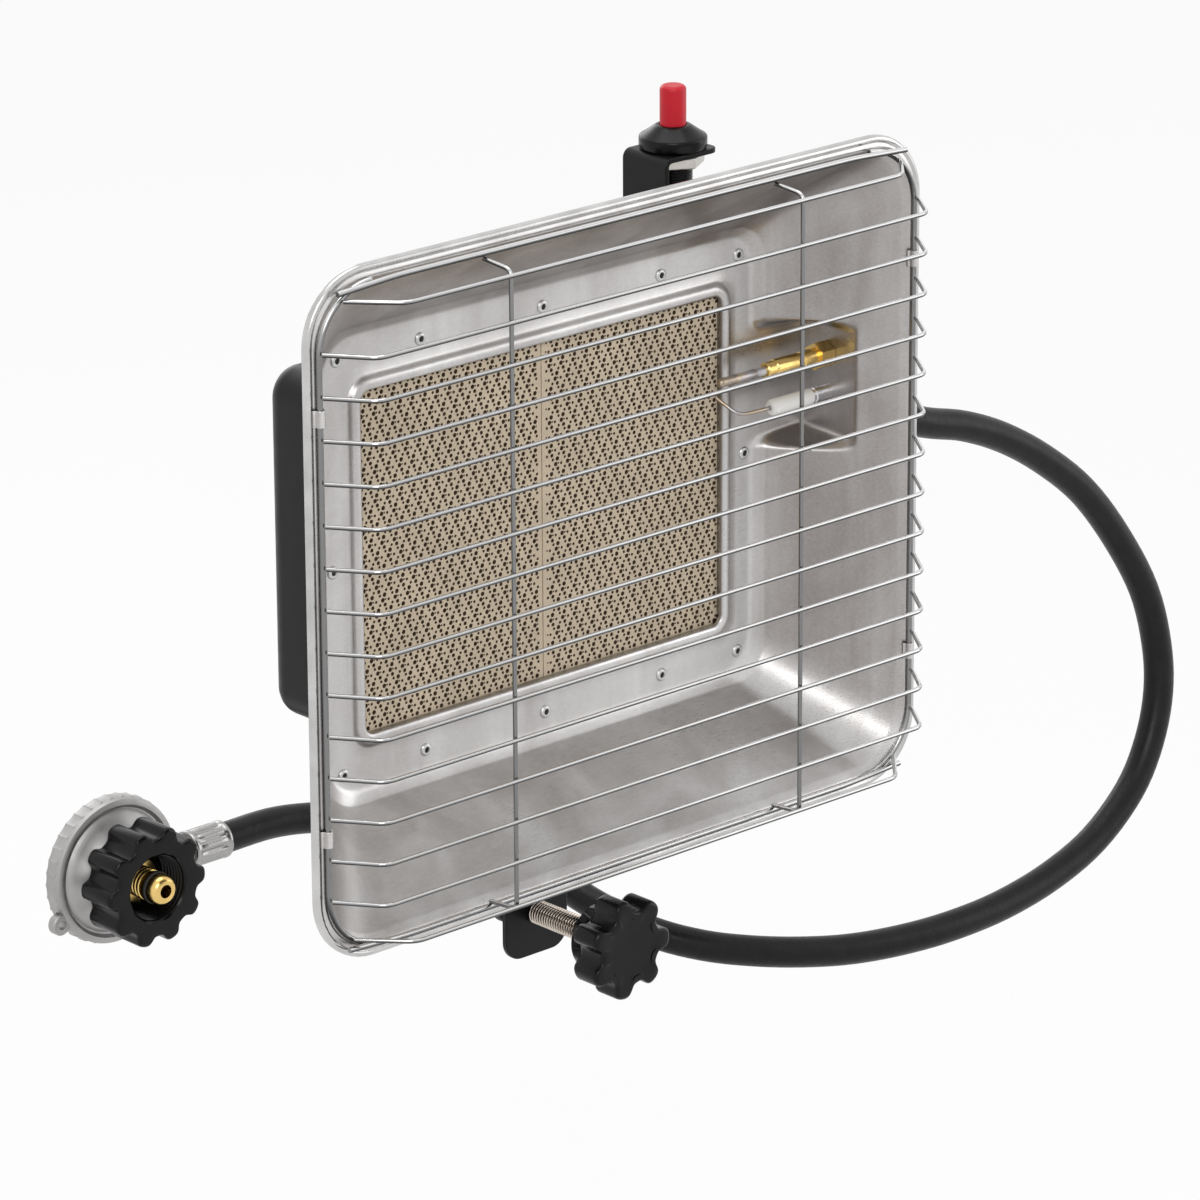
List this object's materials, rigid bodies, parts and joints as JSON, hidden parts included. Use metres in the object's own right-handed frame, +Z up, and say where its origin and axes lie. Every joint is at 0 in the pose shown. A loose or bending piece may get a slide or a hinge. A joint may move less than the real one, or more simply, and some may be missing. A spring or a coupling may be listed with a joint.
{
  "type": "portable propane heater",
  "caption": "Radiant gas heater that clamps on a cylinder's collar: wire-guarded reflector dish with ceramic burner tiles, piezo button, star-knob clamp, hose and regulator.",
  "frame": {"origin": "middle of the saddle face that rests on the collar's top edge", "axes": "+Z up, -Y is the way the heater faces, +X to the right of a viewer in front of it"},
  "size_m": [0.6599, 0.3282, 0.4898],
  "materials": {
    "bright_sheet": "bright rolled, stamped",
    "rivet": "satin",
    "ceramic_tile": "matt, perforated",
    "fibre": "matt fibre",
    "plated_steel": "zinc plated",
    "black_enamel": "satin black",
    "chrome_wire": "polished",
    "valve_casting": "die cast",
    "brass": "turned",
    "copper": "drawn copper",
    "spring_steel": "bright wire",
    "probe_steel": "heat tinted",
    "white_ceramic": "glazed",
    "black_plastic": "fine satin",
    "red_plastic": "gloss",
    "lead_sleeve": "matt",
    "hose_rubber": "satin, extruded",
    "zinc_nut": "zinc plated",
    "screw_steel": "turned thread",
    "reg_casting": "die cast",
    "rubber": "matt"
  },
  "bodies": {
    "root": {"reflector": "bright_sheet", "frame_rivets": "rivet", "tile_left": "ceramic_tile", "tile_right": "ceramic_tile", "tile_gasket": "fibre", "tile_retainer": "plated_steel", "burner_box": "black_enamel", "guard_bars": "chrome_wire", "guard_uprights": "chrome_wire", "guard_side_wires": "chrome_wire", "guard_cross_wires": "chrome_wire", "mixer_tube": "plated_steel", "mixer_bracket": "plated_steel", "gas_jet": "brass", "valve_body": "valve_casting", "valve_locknut": "zinc_nut", "valve_spring": "spring_steel", "hose_inlet": "brass", "thermocouple_probe": "probe_steel", "thermocouple_sleeve": "brass", "thermocouple_locknut": "brass", "thermocouple_lead": "copper", "electrode_wire": "probe_steel", "electrode_ceramic": "white_ceramic", "electrode_clip": "plated_steel", "ignition_lead": "lead_sleeve", "igniter_bracket": "black_enamel", "igniter_body": "black_plastic", "igniter_bezel": "black_plastic", "igniter_nut": "zinc_nut", "igniter_spring": "spring_steel", "support_arm": "black_enamel", "arm_screws": "spring_steel", "arm_nuts": "zinc_nut", "clamp_saddle": "black_enamel", "weld_nut": "plated_steel", "hose": "hose_rubber", "inlet_ferrule": "plated_steel", "regulator_ferrule": "plated_steel", "regulator_body": "reg_casting", "regulator_cover": "reg_casting", "regulator_diaphragm": "rubber", "regulator_spring": "spring_steel", "inlet_nipple": "brass", "nipple_seal": "rubber"},
    "igniter_button": {"igniter_button": "red_plastic"},
    "valve_push": {"valve_push": "black_plastic"},
    "clamp_pad": {"clamp_pad": "rubber"},
    "clamp_screw": {"clamp_screw": "screw_steel", "clamp_knob": "black_plastic"},
    "hand_nut": {"hand_nut": "black_plastic"}
  },
  "joints": [
    {"name": "igniter_press", "type": "slide", "parent": "root", "child": "igniter_button", "axis": [0, 0, -1], "range_m": [0, 0.006], "stiffness_N_per_m": 400, "deforming": ["igniter_spring"]},
    {"name": "valve_press", "type": "slide", "parent": "root", "child": "valve_push", "axis": [0, 0, -1], "range_m": [0, 0.004], "stiffness_N_per_m": 400, "deforming": ["valve_spring"]},
    {"name": "pad_travel", "type": "slide", "parent": "root", "child": "clamp_pad", "axis": [0, 1, 0], "range_m": [-0.004, 0.022]},
    {"name": "knob_turn", "type": "hinge", "parent": "clamp_pad", "child": "clamp_screw", "pos_m": [0, -0.0895, -0.014], "axis": [0, 1, 0], "range_deg": [-820, 4520]},
    {"name": "nut_turn", "type": "hinge", "parent": "root", "child": "hand_nut", "pos_m": [-0.085, 0.174, -0.033], "axis": [0, 1, 0], "continuous": true}
  ],
  "couplings": [
    {"joint": "pad_travel", "follows": "knob_turn", "m_per_rad": 0.00027852}
  ]
}
